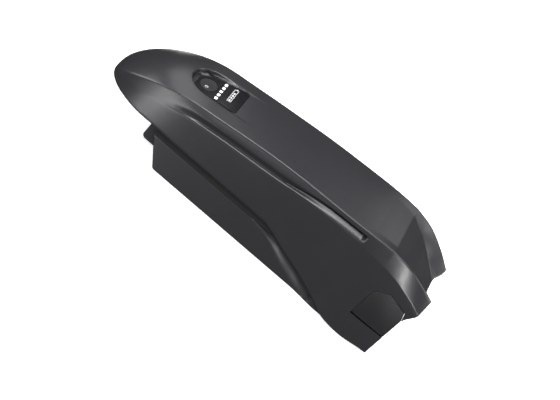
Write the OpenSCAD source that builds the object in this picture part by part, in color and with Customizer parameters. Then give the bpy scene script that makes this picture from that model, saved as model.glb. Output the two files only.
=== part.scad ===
// Down-tube battery pack for a pedal-assist bicycle, millimetres.
// X runs along the pack: the closed nose is at -X and the terminal end at +X.
// +Z is the outer face, -Y the side with the charge port.
// The origin lies under the middle of the pack, level with its lowest edge.

/* [Shell] */
// Wall thickness of the upper shell
wall = 2.6; // [2.2:0.1:2.8]
// Radius that rounds the crest between the top and the strip below it
crest_round = 2; // [1.5:0.5:4]
// Depth of the long cove pressed into each strip
cove_depth = 5.5; // [3:0.5:6]

/* [Lower case] */
// Half width of the lower case
case_half = 37; // [36.8:0.1:37.5]
// Wall thickness of the lower case
case_wall = 2.6; // [2.2:0.1:2.6]
// Height of the case's underside above the lowest edge of the pack
case_base = 0; // [0:0.1:0.4]
// Height of the step where the dark seal band starts
case_step = 34.4; // [33:0.2:35]

/* [Cells] */
// Radius of a wrapped 18650 cell
cell_r = 9.2; // [9:0.05:9.25]
// Length of a cell
cell_len = 65; // [64.5:0.1:65.2]
// Distance between neighbouring cells in a row
cell_pitch = 19; // [18.9:0.05:19.05]
// Cells in each row, which is also the number of series groups
cell_columns = 10; // [8:1:10]

/* [Indicator] */
// Radius of the power button
button_r = 9; // [7:0.5:9]
// How far the power button travels
button_travel = 0.8; // [0.4:0.1:0.8]
// Number of charge level lights
light_count = 5; // [3:1:5]
// Distance between charge level lights
light_pitch = 6.6; // [5.6:0.2:6.8]

/* [Charge port] */
// Thickness of the hinged cover
cover_t = 2.4; // [2:0.1:2.4]
// Radius of the cover's hinge pin
pin_r = 0.9; // [0.8:0.05:1]
// Running clearance around the hinge pin
pin_gap = 0.06; // [0.03:0.01:0.09]
// Inside radius of the round charge socket
charge_bore_r = 7.5; // [7.4:0.1:8]

/* [Terminal end] */
// Thickness of the end cap
cap_t = 3; // [2.5:0.5:3]
// Half width of the discharge socket's hollow
socket_half = 20; // [18:1:20]
// Radius of the pocket that takes the lock bolt
lock_bore_r = 4; // [3:0.5:5]

/* [Hidden] */
$fn = 48;
gap = 0.3;

// ---- Shell curves: [x, value] knots joined by a smooth curve ----
nose_x = -186;
end_x = 186;
nose_start = -90;
nose_len = nose_start - nose_x;
tip_z = 44.2;
// The body and the terminal end meet at a fold across the top, so the crest has a table for each.
fold_x = 124.5;
crest_w = [[[-90, 39.3], [-20, 39.2], [50, 41.4], [90, 42.4], [fold_x, 41.7]],
           [[fold_x, 41.7], [147, 38.8], [170, 33.2], [186, 28.8]]];
crest_z = [[[-186, 86], [-127, 93.9], [-83, 99.7], [-32, 106.9], [14, 111.8], [69, 115], [105, 116.8],
            [fold_x, 117]],
           [[fold_x, 117], [147, 112.4], [170, 102], [186, 92]]];
lip_y = [[-90, 42], [0, 42.5], [120, 43], [150, 42.5], [186, 40]];
lip_z = [[-186, 70], [-129, 73.5], [-97, 80.5], [-59, 86.3], [-19, 90.8], [32, 97],
         [90, 99.2], [117, 99], [143, 95.5], [167, 87.5], [186, 79]];
foot_y = [[-90, 42], [100, 42], [120, 43.5], [150, 43.5], [178, 42.5]];
foot_z = [[-117, 45], [15, 45], [28, 42], [48, 33.8], [72, 25.6], [107, 10], [120, 3.5], [135, 0.6],
          [150, 0], [178, 3]];
valley_w = [[60, 36], [100, 32], [124, 28], [152, 20.6], [169, 16.5], [186, 10]];
valley_d = [[[60, 0], [95, 0], [fold_x, 1.6]],
            [[fold_x, 1.6], [140, 5.6], [152, 8], [169, 10.4], [186, 10]]];
crown_h = [[-186, 9.8], [-150, 10.7], [-110, 2.2], [-60, 1.5], [60, 1.5], [100, 0]];

function smooth(u) = let (c = min(max(u, 0), 1)) c * c * (3 - 2 * c);
function knot_at(t, x, i = 0) = i >= len(t) - 2 || x < t[i + 1][0] ? i : knot_at(t, x, i + 1);
function slope(t, k) =
    let (a = t[max(k - 1, 0)], b = t[min(k + 1, len(t) - 1)]) (b[1] - a[1]) / (b[0] - a[0]);
function blend(t, i, h, s) =
    (1 + 2 * s) * pow(1 - s, 2) * t[i][1] + s * pow(1 - s, 2) * h * slope(t, i)
    + s * s * (3 - 2 * s) * t[i + 1][1] + s * s * (s - 1) * h * slope(t, i + 1);
function curve(t, x) =
    x <= t[0][0] ? t[0][1] :
    x >= t[len(t) - 1][0] ? t[len(t) - 1][1] :
    let (i = knot_at(t, x), h = t[i + 1][0] - t[i][0]) blend(t, i, h, (x - t[i][0]) / h);

function folded(pair, x) = curve(pair[x < fold_x ? 0 : 1], x);

// Straight slope from 0 to 1 with both ends rounded over a fraction of its length.
ramp_round = 0.16;
function ramp(u) =
    let (r = ramp_round, k = 1 / (2 * r * (1 - r)))
    u <= 0 ? 0 : u >= 1 ? 1 : u < r ? k * u * u : u > 1 - r ? 1 - k * (1 - u) * (1 - u) :
    (u - r / 2) / (1 - r);

// Nose envelope: 1 along the body, falling to 0 at the tip. inset moves the tip inwards.
function nose(x, p, q, inset) =
    let (u = min(max((nose_start - x) / (nose_len - inset), 0), 1)) pow(max(1 - pow(u, p), 0), q);
function nose_w(x, inset) = nose(x, 2.32, 0.35, inset);
function nose_z(x, inset) = nose(x, 2.13, 0.7, inset);
function raised(z, e) = tip_z + (z - tip_z) * e;
function rim_z(x) = 43 + 2 * smooth((x + 150) / 33);
function foot_height(x, inset) =
    x < -117 ? raised(rim_z(x), nose(x, 3.87, 0.5, inset)) : max(curve(foot_z, x), 0);
// The strip swells below the crest and tucks in just above the lip near the nose. Towards the
// terminal end the cove moves up under the crest and gets deeper, and it stops in a rounded pocket.
cove_start = -130;
cove_stop = 97.5;
cove_growth = 1.6;
swell = 1.3;
function cove(x, s) =
    let (late = smooth(x / 75), deepest = 0.92 - 0.58 * late, top = 0.25 - 0.04 * late,
         above = pow(smooth((s - top) / (deepest - top)), 1.5 - 0.5 * late),
         below = 1 - smooth((s - deepest) / (0.985 - 0.025 * late - deepest)),
         tuck = (cove_depth + cove_growth * (late - 1)) * (s < deepest ? above : below),
         bulge = swell * (1 - late) * sin(180 * min(s / 0.75, 1)))
    (tuck - bulge) * smooth((x - cove_start) / 45) * (1 - smooth((x - cove_stop + 6) / 6));

// Half outline of the shell, from the middle of the top (step 0) down to the foot (last step).
top_steps = [0, 0.5, 1, 1.34, 1.67, 2];
strip_steps = [0, 0.17, 0.3, 0.42, 0.58, 0.72, 0.84, 0.92, 1];
side_steps = [0.08, 0.16, 0.28, 0.6, 1];
strip_first = 8;
side_first = strip_first + len(strip_steps);
half_count = side_first + len(side_steps);

function top_z(x, y, wc, zc, e) =
    let (u = (wc - y) / max(wc - min(curve(valley_w, x), 0.9 * wc), 0.01))
    zc + curve(crown_h, x) * e * (1 - pow(y / wc, 2)) - folded(valley_d, x) * ramp(u);
function top_y(k, x, wc, r) =
    let (wv = min(curve(valley_w, x), 0.86 * (wc - r))) k <= 1 ? wv * k : wv + (wc - r - wv) * (k - 1);
function crest_point(k, a, b, c) =
    let (t = k / 3) a * pow(1 - t, 2) + b * 2 * t * (1 - t) + c * t * t;
function outline(x, j, inset) =
    let (ew = nose_w(x, inset), ez = nose_z(x, inset),
         wc = folded(crest_w, x) * ew, zc = raised(folded(crest_z, x), ez), r = min(crest_round, 0.3 * wc),
         lip = [curve(lip_y, x) * ew, raised(curve(lip_z, x), ez)],
         foot = [curve(foot_y, x) * nose(x, 2.63, 0.35, inset), foot_height(x, inset)],
         crest = [wc, zc], along = (lip - crest) / max(norm(lip - crest), 0.01),
         edge = [wc - r, top_z(x, wc - r, wc, zc, ez)], under = crest + along * r)
    j < 6 ? let (y = top_y(top_steps[j], x, wc, r)) [y, top_z(x, y, wc, zc, ez)] :
    j < strip_first ? crest_point(j - 5, edge, crest, under) :
    j < side_first ? let (s = strip_steps[j - strip_first])
        under + (lip - under) * s - [cove(x, s) * ew, 0] :
    lip + (foot - lip) * side_steps[j - side_first];

// The wall grows inwards: downwards under the top, sideways behind the strip and the side.
crest_inward = [[0.4, 1], [0.8, 1], [1.05, 0.8], [1.05, 0.6]];
function inward(j) = j < 5 ? [0, 1] : j <= strip_first ? crest_inward[j - 5] : [1, 0];
function skin(x, j, inset) =
    let (p = outline(x, j, inset), d = inward(j), t = inset > 0 ? wall : 0)
    [p[0] - d[0] * t * nose_w(x, inset), p[1] - d[1] * t * nose_z(x, inset)];

// The end is not flat: the two crests reach past the middle, and the sides stop short.
end_start = 140;
end_edge = [181, 181, 181.3, 183.6, 185.4, 186, 186, 186, 186, 186, 186, 185.9, 185.9, 185.8, 185.7, 185.6,
            185.5, 181.9, 179.2, 177.9, 177.6, 177.5];
function station_x(t, j) =
    t <= end_start ? t : end_start + (t - end_start) * (end_edge[j] - end_start) / (end_x - end_start);

nose_rings = 12;
inner_inset = wall + 0.4;
body_stations = [-70, -50, -30, -10, 8, 22, 36, 50, 64, 78, 91.5, 93.5, 95.5, 97.5, 106, 115, fold_x, 130,
                 135, 140, 148, 157, 166, 176, end_x];
function nose_station(k, inset) =
    nose_x + inset + 0.02 + (nose_len - inset - 0.02) * pow(k / nose_rings, 2.2);
function stations(inset) = concat([for (k = [0:nose_rings]) nose_station(k, inset)], body_stations);
ring_count = nose_rings + 1 + len(body_stations);
ring_size = 2 * half_count - 1;

function ring(t, inset) = [
    for (m = [0:ring_size - 1])
        let (j = abs(half_count - 1 - m), side = m < half_count - 1 ? -1 : 1,
             x = station_x(t, j), p = skin(x, j, inset))
        [x, side * p[0], p[1]]
];
function skin_points(inset) = [for (t = stations(inset)) each ring(t, inset)];
function quad(a, b, c, d) = [[a, b, c], [a, c, d]];
function sheet(first) = [
    for (i = [0:ring_count - 2], m = [0:ring_size - 2])
        let (a = first + i * ring_size + m, b = a + ring_size)
        each quad(a, a + 1, b + 1, b)
];
function flipped(faces) = [for (f = faces) [f[2], f[1], f[0]]];
function tip_fan(first) = [for (m = [1:ring_size - 2]) [first, first + m + 1, first + m]];

module shell_skin() {
    inner = ring_count * ring_size;
    last = (ring_count - 1) * ring_size;
    right = ring_size - 1;
    faces = concat(
        sheet(0),
        flipped(sheet(inner)),
        tip_fan(0),
        flipped(tip_fan(inner)),
        [for (m = [0:ring_size - 2])
            each quad(last + m, last + m + 1, inner + last + m + 1, inner + last + m)],
        [for (i = [0:ring_count - 2]) let (a = i * ring_size, b = a + ring_size)
            each quad(a, b, inner + b, inner + a)],
        [for (i = [0:ring_count - 2]) let (a = i * ring_size + right, b = a + ring_size)
            each quad(a, inner + a, inner + b, b)],
        quad(0, inner, inner + right, right)
    );
    polyhedron(points = concat(skin_points(0), skin_points(inner_inset)), faces = faces);
}

// ---- Frames shared by several modules ----
panel_x = -94;
panel_z = 96.6;
panel_tilt = 15.1;
module on_panel() translate([panel_x, 0, panel_z]) rotate([0, -panel_tilt, 0]) children();

port_x = 137;
port_y = -43.25;
port_turn = 1.72;
module at_port() translate([port_x, port_y, 0]) rotate([0, 0, port_turn]) children();

// Extrudes an outline drawn in X and Z along +Y, from depth y0 over depth t.
module along_y(y0, t) translate([0, y0 + t, 0]) rotate([90, 0, 0]) linear_extrude(t) children();
module mirrored() { children(); mirror([0, 1, 0]) children(); }
module bar_x(x0, x1, r) translate([x0, 0, 0]) rotate([0, 90, 0]) cylinder(r = r, h = x1 - x0);
module bar_y(y0, y1, r) translate([0, y0, 0]) rotate([-90, 0, 0]) cylinder(r = r, h = y1 - y0);
module rod(a, b, r) {
    d = b - a;
    translate(a)
        rotate([0, acos(d[2] / norm(d)), atan2(d[1], d[0])])
        cylinder(r = r, h = norm(d), $fn = 24);
}
module cable(path, r) {
    for (i = [0:len(path) - 2]) rod(path[i], path[i + 1], r);
    for (i = [1:len(path) - 2]) translate(path[i]) sphere(r = r * 1.04, $fn = 24);
}
module rounded_plate(x, y, r) {
    translate([-x, -y + r]) square([2 * x, 2 * y - 2 * r]);
    translate([-x + r, -y]) square([2 * x - 2 * r, 2 * y]);
    for (a = [-1, 1], b = [-1, 1]) translate([a * (x - r), b * (y - r)]) circle(r = r, $fn = 24);
}

// ---- Upper shell ----
screw_r = 1.5;
boss_r = 4.2;
post_r = 3.3;
post_top = 19.4;
nose_screw = [-150, 18];
rear_screw = [127.5, 36.9];
nose_boss_z = [46.2, 78];
rear_boss_z = [20.2, 42];
module boss(at, z) {
    difference() {
        translate([at[0], at[1], z[0]]) cylinder(r = boss_r, h = z[1] - z[0], $fn = 32);
        translate([at[0], at[1], z[0] - 1]) cylinder(r = screw_r + 0.1, h = 13, $fn = 32);
    }
}
bezel_outline = [[-60, 22.8], [-94, 21.8], [-109, 20], [-118, 17.6], [-122.6, 13], [-125.2, 7], [-126, 0]];
function both_sides(half) =
    concat(half, [for (i = [len(half) - 1:-1:0]) if (half[i][1] > 0) [half[i][0], -half[i][1]]]);
module bezel_shape(grow) {
    s = (22.8 + grow) / 22.8;
    translate([-93, 0]) scale([s, s, 1]) translate([93, 0]) polygon(both_sides(bezel_outline));
}
// The cover's outline in the port's own frame: along the pack, then up.
cover_low = 31.2;
cover_outline = [[0.3, cover_low], [0.3, 67], [2.6, 71.4], [15, 78.4], [37.2, 70.3], [40.2, 63],
                 [40.2, cover_low]];
window_outline = [[0, cover_low - gap], [0, 67.1], [2.4, 71.7], [15, 78.8], [37.5, 70.6], [40.5, 63.2],
                  [48, 63.2], [48, cover_low - gap]];
module upper_shell() color([0.25, 0.25, 0.27]) {
    difference() {
        shell_skin();
        translate([0, 0, 80]) linear_extrude(40) bezel_shape(0.1);
        at_port() along_y(-4, 8) polygon(window_outline);
    }
    mirrored() {
        boss(nose_screw, nose_boss_z);
        boss(rear_screw, rear_boss_z);
    }
}

// ---- Lower case ----
// The nose end of the case leans: lean_rate along the pack for each unit up.
lean_foot = -97.3;
lean_rate = 0.58;
function lean_x(z) = lean_foot - lean_rate * z;
neck_half = 35.6;
neck_top = 47;
flare_half = 39.9;
flare_start = 78;
flare_end = 112;
flare_top = 30;
case_end = 171.7;
bay_end = 112;
cap_screw = [33, 13];
module case_profile(inset, top) {
    b = case_base + inset;
    polygon([[lean_x(b) - 0.2 * inset + 3.2 + inset, b], [lean_x(b + 2.4) + inset * 1.13, b + 2.4],
             [lean_x(top) + inset * 1.13, top], [case_end - inset, top], [case_end - inset, b]]);
}
module neck_profile(inset) {
    a = lean_x(case_step) + 1.5 + inset;
    polygon([[a + 6, case_step - 6], [a, case_step - 2], [a, neck_top], [bay_end, neck_top],
             [bay_end, case_step - 6]]);
}
flare_root = case_half - 2;
flare = [for (k = [0:8]) [flare_start + (flare_end - flare_start) * k / 8,
                          flare_root + (flare_half - flare_root) * smooth(k / 8)]];
rib_y = [-28, -10, 8, 26];
rib_top = 6.9;
module lower_case() color([0.2, 0.2, 0.21]) {
    round_r = 2;
    difference() {
        union() {
            intersection() {
                along_y(-50, 100) case_profile(0, case_step);
                translate([-130, 0, 0]) rotate([90, 0, 90]) linear_extrude(310) union() {
                    translate([-case_half, case_base + round_r]) square([2 * case_half, 40]);
                    translate([round_r - case_half, case_base]) square([2 * (case_half - round_r), 20]);
                    for (s = [-1, 1])
                        translate([s * (case_half - round_r), case_base + round_r]) circle(r = round_r);
                }
            }
            along_y(-neck_half, 2 * neck_half) neck_profile(0);
            mirrored() translate([0, 0, case_base]) linear_extrude(flare_top - case_base)
                polygon(concat([[case_end, case_half - 6], [flare_start, case_half - 6]], flare,
                               [[150, flare_half], [case_end, flare_half - 0.9]]));
        }
        difference() {
            along_y(case_wall - case_half, 2 * (case_half - case_wall)) {
                intersection() {
                    case_profile(case_wall, 60);
                    translate([-200, 0]) square([200 + bay_end, 100]);
                }
                intersection() {
                    neck_profile(1.2);
                    translate([-200, case_step - 3]) square([400, 10]);
                }
                translate([-108, 40]) square([240, 20]);
            }
            for (y = rib_y) translate([-94, y, 0]) cube([203, 2.4, rib_top]);
        }
        translate([bay_end - 1, -37.8, case_base + case_wall]) cube([case_end - bay_end - 1.7, 75.6, 60]);
        mirrored() translate([rear_screw[0], rear_screw[1], 0]) {
            translate([0, 0, -1]) cylinder(r = screw_r + 0.3, h = 40);
            translate([0, 0, -1]) cylinder(r = 3.2, h = case_base + 3.2);
            translate([0, 0, post_top + 0.5]) cylinder(r = boss_r + 0.4, h = 20);
        }
        mirrored() translate([-88, 18, -1]) cube([176, 6, case_base + 2]);
        mirrored() translate([0, 9, 22]) bar_x(-125, -100, screw_r + 0.2);
        mirrored() translate([0, cap_screw[0], cap_screw[1]]) bar_x(160, 175, screw_r + 0.1);
        translate([case_end - 4, -30.2, socket_low - 4.8]) cube([10, 60.4, 60]);
        translate([case_end - 4, -45, flare_top]) cube([10, 20, 20]);
    }
    mirrored() translate([rear_screw[0], rear_screw[1], case_base + 2.4]) difference() {
        cylinder(r = post_r, h = post_top - case_base - 2.4);
        translate([0, 0, -1]) cylinder(r = screw_r + 0.3, h = 20);
    }
    mirrored() translate([0, cap_screw[0], cap_screw[1]]) difference() {
        translate([160, -2.5, case_base + case_wall - 0.1 - cap_screw[1]]) cube([11.6, 7, 14]);
        bar_x(158, 175, screw_r + 0.1);
    }
}

// Plate that closes the underside of the nose, inside the shell's rim.
plate_z = 43.2;
plate_t = 2.6;
function nose_plate_y(x) = skin(x, half_count - 1, inner_inset)[0] - 1.2;
plate_tail = -112.2;
module nose_plate() color([0.16, 0.16, 0.17]) {
    xs = [for (k = [1:8]) nose_station(k, inner_inset + 0.6)];
    half = concat([for (x = xs) if (x < plate_tail) [x, nose_plate_y(x)]],
                  [[plate_tail, nose_plate_y(plate_tail)]]);
    left = [for (i = [len(half) - 1:-1:0]) [half[i][0], -half[i][1]]];
    difference() {
        translate([0, 0, plate_z]) linear_extrude(plate_t) polygon(concat(half, left));
        translate([lean_x(case_step) + 0.9, -neck_half - 0.3, 40]) cube([20, 2 * neck_half + 0.6, 20]);
        mirrored() translate([nose_screw[0], nose_screw[1], 40])
            cylinder(r = screw_r + 0.2, h = 20, $fn = 32);
    }
}

// Dark seal band around the neck of the lower case, with a lip that reaches under the shell.
module case_gasket() color([0.05, 0.05, 0.055]) {
    a = lean_x(case_step);
    inner = neck_half + 0.05;
    difference() {
        union() {
            translate([a + 0.6, -case_half + 0.4, case_step + 0.05])
                cube([bay_end - a - 0.6, 2 * case_half - 0.8, 7.8]);
            translate([-111.6, -38.9, case_step + 7.8]) cube([124, 77.8, 3]);
        }
        translate([a + 1.45, -inner, 30]) cube([300, 2 * inner, 30]);
        translate([112.5, -50, 30]) cube([100, 100, 30]);
    }
}

// ---- Lock keeper on the nose end of the lower case ----
keeper_z = 20;
module lock_keeper() color([0.14, 0.14, 0.15]) {
    off = 0.06;
    difference() {
        along_y(-18, 36) polygon(concat(
            [[lean_x(33) - off, 33], [-123, 33], [-124.6, 31.4]],
            [for (a = [0:15:90]) [-119.6 - 5 * cos(a), 13 - 5 * sin(a)]],
            [[lean_x(8) - off, 8]]));
        translate([0, 0, keeper_z]) bar_x(-130, -111, lock_bore_r);
        mirrored() translate([0, 9, 22]) bar_x(-121, -100, screw_r + 0.1);
    }
}
module keeper_screws() color([0.6, 0.6, 0.62]) mirrored() translate([0, 9, 22]) {
    bar_x(-119, -103.8, screw_r);
    bar_x(-103.9, -101.6, 2.8);
}
module case_screws() color([0.55, 0.55, 0.57]) mirrored() {
    translate([nose_screw[0], nose_screw[1], 0]) {
        translate([0, 0, plate_z - 2]) cylinder(r = 2.8, h = 1.9, $fn = 32);
        translate([0, 0, plate_z - 0.2]) cylinder(r = screw_r, h = 14, $fn = 32);
    }
    translate([rear_screw[0], rear_screw[1], case_base + 0.3]) {
        cylinder(r = 2.9, h = 1.8, $fn = 32);
        cylinder(r = screw_r, h = 28, $fn = 32);
    }
}

// ---- Cells and their holders ----
cell_x0 = -76;
cell_z0 = 16.9;
cell_rows = 5;
cell_rise = cell_pitch * sin(60);
function cell_at(c, r) = [cell_x0 + cell_pitch * (c - (r % 2) / 2), cell_z0 + cell_rise * r];
module each_cell() for (c = [0:cell_columns - 1], r = [0:cell_rows - 1])
    translate(cell_at(c, r)) children();
stack_end = cell_x0 + cell_pitch * (cell_columns - 1) + cell_r + 2.3;
stack_top = cell_z0 + cell_rise * (cell_rows - 1) + cell_r + 0.5;
holder_in = 24;
holder_out = cell_len / 2 + 0.8;
tie_points = [[-90.8, cell_z0], [-90.8, cell_z0 + 2 * cell_rise], [stack_end - 7.6, cell_z0 + cell_rise],
              [stack_end - 7.6, cell_z0 + 3 * cell_rise]];
module cells() color([0.18, 0.42, 0.62])
    for (c = [0:cell_columns - 1], r = [0:cell_rows - 1])
        let (p = cell_at(c, r), flip = c % 2 == 0 ? 0 : 180)
        translate([p[0], 0, p[1]]) rotate([0, 0, flip]) {
            bar_y(-cell_len / 2, cell_len / 2 - 1, cell_r);
            bar_y(cell_len / 2 - 1.01, cell_len / 2, 4.2);
        }
module holder_outline() polygon([[-93, 7], [stack_end, 7], [stack_end, stack_top], [-80, stack_top],
                                 [-87, 86], [-87, 77.5], [-97, 77.5], [-97, 12]]);
lug_z = [19, 84];
module cell_holder() {
    along_y(holder_in, cell_len / 2 + 0.05 - holder_in) difference() {
        holder_outline();
        each_cell() circle(r = cell_r + 0.1);
        for (p = tie_points) translate(p) circle(r = screw_r + 0.1, $fn = 24);
    }
    along_y(cell_len / 2 + 0.04, 0.75) difference() {
        holder_outline();
        each_cell() circle(r = 7);
        for (p = tie_points) translate(p) circle(r = screw_r + 0.1, $fn = 24);
    }
    for (z = lug_z) difference() {
        translate([stack_end - 0.01, holder_in + 1, z - 3.5]) cube([2.6, 7, 7]);
        translate([0, holder_in + 4.5, z]) bar_x(stack_end - 1, stack_end + 5, 0.95);
    }
}
module holder_left() color([0.86, 0.86, 0.84]) mirror([0, 1, 0]) cell_holder();
module holder_right() color([0.86, 0.86, 0.84]) cell_holder();
module tie_rods() color([0.7, 0.7, 0.72]) for (p = tie_points) translate([p[0], 0, p[1]])
    bar_y(-holder_out, holder_out, screw_r);

// Nickel plates join neighbouring columns, offset by one column from side to side.
module column_bus(c) {
    for (r = [0:cell_rows - 1]) translate(cell_at(c, r)) circle(r = 5.4, $fn = 24);
    for (r = [0:cell_rows - 2])
        let (a = cell_at(c, r), b = cell_at(c, r + 1), d = b - a)
        translate(a) rotate(atan2(d[1], d[0])) translate([0, -3.2]) square([norm(d), 6.4]);
}
module bus_plates(first, side) {
    for (c = [first:2:cell_columns - 1]) {
        mate = c + 1 < cell_columns;
        translate([0, side * (holder_out + 0.05) + (side < 0 ? -0.25 : 0), 0]) along_y(0, 0.25) {
            if (c >= 0) column_bus(c);
            if (mate) column_bus(c + 1);
            if (c >= 0 && mate)
                for (r = [0:cell_rows - 1]) translate(cell_at(c, r) + [0, -2.6]) square([cell_pitch, 5.2]);
        }
    }
}
module bus_left() color([0.78, 0.77, 0.72]) bus_plates(-1, -1);
module bus_right() color([0.78, 0.77, 0.72]) bus_plates(0, 1);
module insulator(y0) along_y(y0, 0.3) difference() {
    translate([-95, 9]) square([stack_end + 93, 67]);
    translate([-200, 0]) square([400, 10]);
}
module insulator_left() color([0.75, 0.8, 0.72]) insulator(-holder_out - 0.7);
module insulator_right() color([0.75, 0.8, 0.72]) insulator(holder_out + 0.4);
module foam_pad() color([0.12, 0.12, 0.12])
    translate([-58, -22, stack_top + 0.1]) difference() {
        cube([stack_end + 50, 44, 2.6]);
        for (k = [0:3]) translate([20 + 34 * k, 22, -1]) cylinder(r = 6, h = 5);
    }
module thermistors() color([0.1, 0.1, 0.1]) for (c = [2, 6], s = [-1, 1])
    translate([cell_at(c, 0)[0] + cell_pitch / 2, 0, cell_z0 + cell_rise / 3]) {
        bar_y(min(s * 8, s * 20), max(s * 8, s * 20), 1.1);
    }

// ---- Battery management board ----
board_x = stack_end + 2.7;
board_t = 1.6;
board_front = board_x + board_t;
module bms_board() color([0.05, 0.3, 0.14]) difference() {
    translate([board_x, -33.4, 9]) cube([board_t, 66.8, 84]);
    mirrored() for (z = lug_z) translate([0, holder_in + 4.5, z]) bar_x(board_x - 1, board_x + 4, 1.2);
}
module board_screws() color([0.6, 0.6, 0.62]) mirrored() for (z = lug_z)
    translate([0, holder_in + 4.5, z]) {
        bar_x(stack_end + 0.1, board_front + 0.2, 0.85);
        bar_x(board_front + 0.05, board_front + 1.5, 2);
    }
module bms_chips() color([0.08, 0.08, 0.09]) {
    f = board_front + 0.03;
    for (k = [0:5]) translate([f, -27 + 9.2 * k, 66]) cube([4.4, 6.6, 9]);
    translate([f, -6, 38]) cube([1.8, 12, 12]);
    translate([f, 12, 40]) cube([1.6, 8, 6]);
    for (k = [0:4]) translate([f, -24, 32 + 5 * k]) cube([1.2, 4, 2.4]);
    for (k = [0:2]) translate([0, 18 - 14 * k, 24]) bar_x(f, f + 8, 3.4);
    translate([f, -20, 84]) cube([4.5, 26, 5]);
    translate([f, 12, 83]) cube([4.5, 11, 5]);
}
module heat_plate() color([0.7, 0.71, 0.72]) {
    x = board_front + 4.5;
    translate([x, -28, 64]) cube([2, 54, 16]);
    for (k = [0:8]) translate([x + 1.99, -27 + 6.3 * k, 64]) cube([3, 1.2, 16]);
}

// ---- Indicator: bezel, lens, button, lights ----
button_at = -13.5;
light_x = 0;
lens_size = [3, 4.8];
lens_top = 0.15;
lens_box = [-25, 20, 17];
circuit_top = -4.6;
panel_posts = [[-21, 18.9], [3, 18.9]];
module lens_shape(grow) {
    translate([(lens_box[0] + lens_box[1]) / 2, 0])
        rounded_plate((lens_box[1] - lens_box[0]) / 2 + grow, lens_box[2] + grow, 5);
}
module light_places() for (k = [0:light_count - 1])
    translate([light_x, light_pitch * (k - (light_count - 1) / 2), 0]) children();
module indicator_bezel() color([0.27, 0.27, 0.29]) {
    difference() {
        translate([0, 0, 75]) linear_extrude(50) bezel_shape(0);
        translate([0, 0, 60]) linear_extrude(80) translate([-93, 0]) scale([0.93, 0.93, 1])
            translate([93, 0]) polygon(both_sides(bezel_outline));
        translate([-126, -40, 92.9]) rotate([0, -9.4, 0]) translate([-20, 0, 0]) cube([120, 80, 40]);
        on_panel() translate([-60, -40, -42]) cube([120, 80, 40]);
    }
    difference() {
        intersection() {
            translate([0, 0, 75]) linear_extrude(50) translate([-93, 0]) scale([0.94, 0.94, 1])
                translate([93, 0]) polygon(both_sides(bezel_outline));
            on_panel() translate([-60, -40, -2]) cube([96, 80, 2]);
        }
        on_panel() translate([0, 0, -5]) linear_extrude(10) lens_shape(0.12);
    }
    on_panel() mirrored() for (p = panel_posts) difference() {
        translate([p[0], p[1], circuit_top + 0.05]) cylinder(r = 1.6, h = -circuit_top - 2, $fn = 24);
        translate([p[0], p[1], circuit_top - 1]) cylinder(r = 0.85, h = 3.2, $fn = 24);
    }
}
module indicator_lens() color([0.06, 0.06, 0.07]) on_panel() difference() {
    translate([0, 0, -1.9]) linear_extrude(1.9 + lens_top) lens_shape(0);
    translate([button_at, 0, -5]) cylinder(r = button_r + 0.2, h = 10);
    light_places() cube([lens_size[0] + 0.1, lens_size[1] + 0.1, 10], center = true);
}
module power_button() color([0.09, 0.09, 0.1]) on_panel() translate([button_at, 0, 0]) {
    difference() {
        translate([0, 0, -2.2]) cylinder(r = button_r, h = 3.1);
        translate([0, 0, 26.55]) sphere(r = 26, $fn = 96);
    }
    translate([0, 0, -3]) cylinder(r = button_r + 1.4, h = 0.95);
}
module button_seal() color([0.03, 0.03, 0.03]) on_panel()
    translate([button_at, 0, circuit_top + 0.1]) difference() {
        cylinder(r = button_r + 3.3, h = 2.5);
        translate([0, 0, -1]) cylinder(r = button_r + 1.7, h = 5);
    }
module charge_lights() color([0.95, 0.95, 0.95]) on_panel() light_places()
    translate([-lens_size[0] / 2, -lens_size[1] / 2, -1.9]) cube([lens_size[0], lens_size[1], 2.1]);
module light_board() color([0.05, 0.28, 0.13]) on_panel() difference() {
    translate([-24, -20.4, circuit_top - 1.4]) cube([31, 40.8, 1.4]);
    mirrored() for (p = panel_posts) translate([p[0], p[1], -10]) cylinder(r = 1, h = 20, $fn = 24);
}
module light_chips() color([0.9, 0.88, 0.6]) on_panel() light_places()
    translate([-1.1, -1.4, circuit_top + 0.03]) cube([2.2, 2.8, 0.9]);
module tact_switch() color([0.2, 0.2, 0.2]) on_panel() translate([button_at, 0, circuit_top]) {
    translate([-3, -3, 0.03]) cube([6, 6, 0.5]);
    translate([0, 0, 0.4]) cylinder(r = 1.3, h = 0.32);
}
module panel_screws() color([0.6, 0.6, 0.62]) on_panel() mirrored() for (p = panel_posts)
    translate([p[0], p[1], circuit_top - 2.4]) {
        cylinder(r = 1.5, h = 0.95, $fn = 24);
        cylinder(r = 0.75, h = 3.9, $fn = 24);
    }
module indicator_cable() color([0.12, 0.12, 0.13]) {
    high = stack_top + 2.9;
    end = board_front + 3.5;
    cable([[-92, 14, 88.8], [-92, 25.5, 88.8], [-92, 25.5, high], [end, 25.5, high], [end, 18, high],
           [end, 18, 88.2]], 1.1);
}

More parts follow.
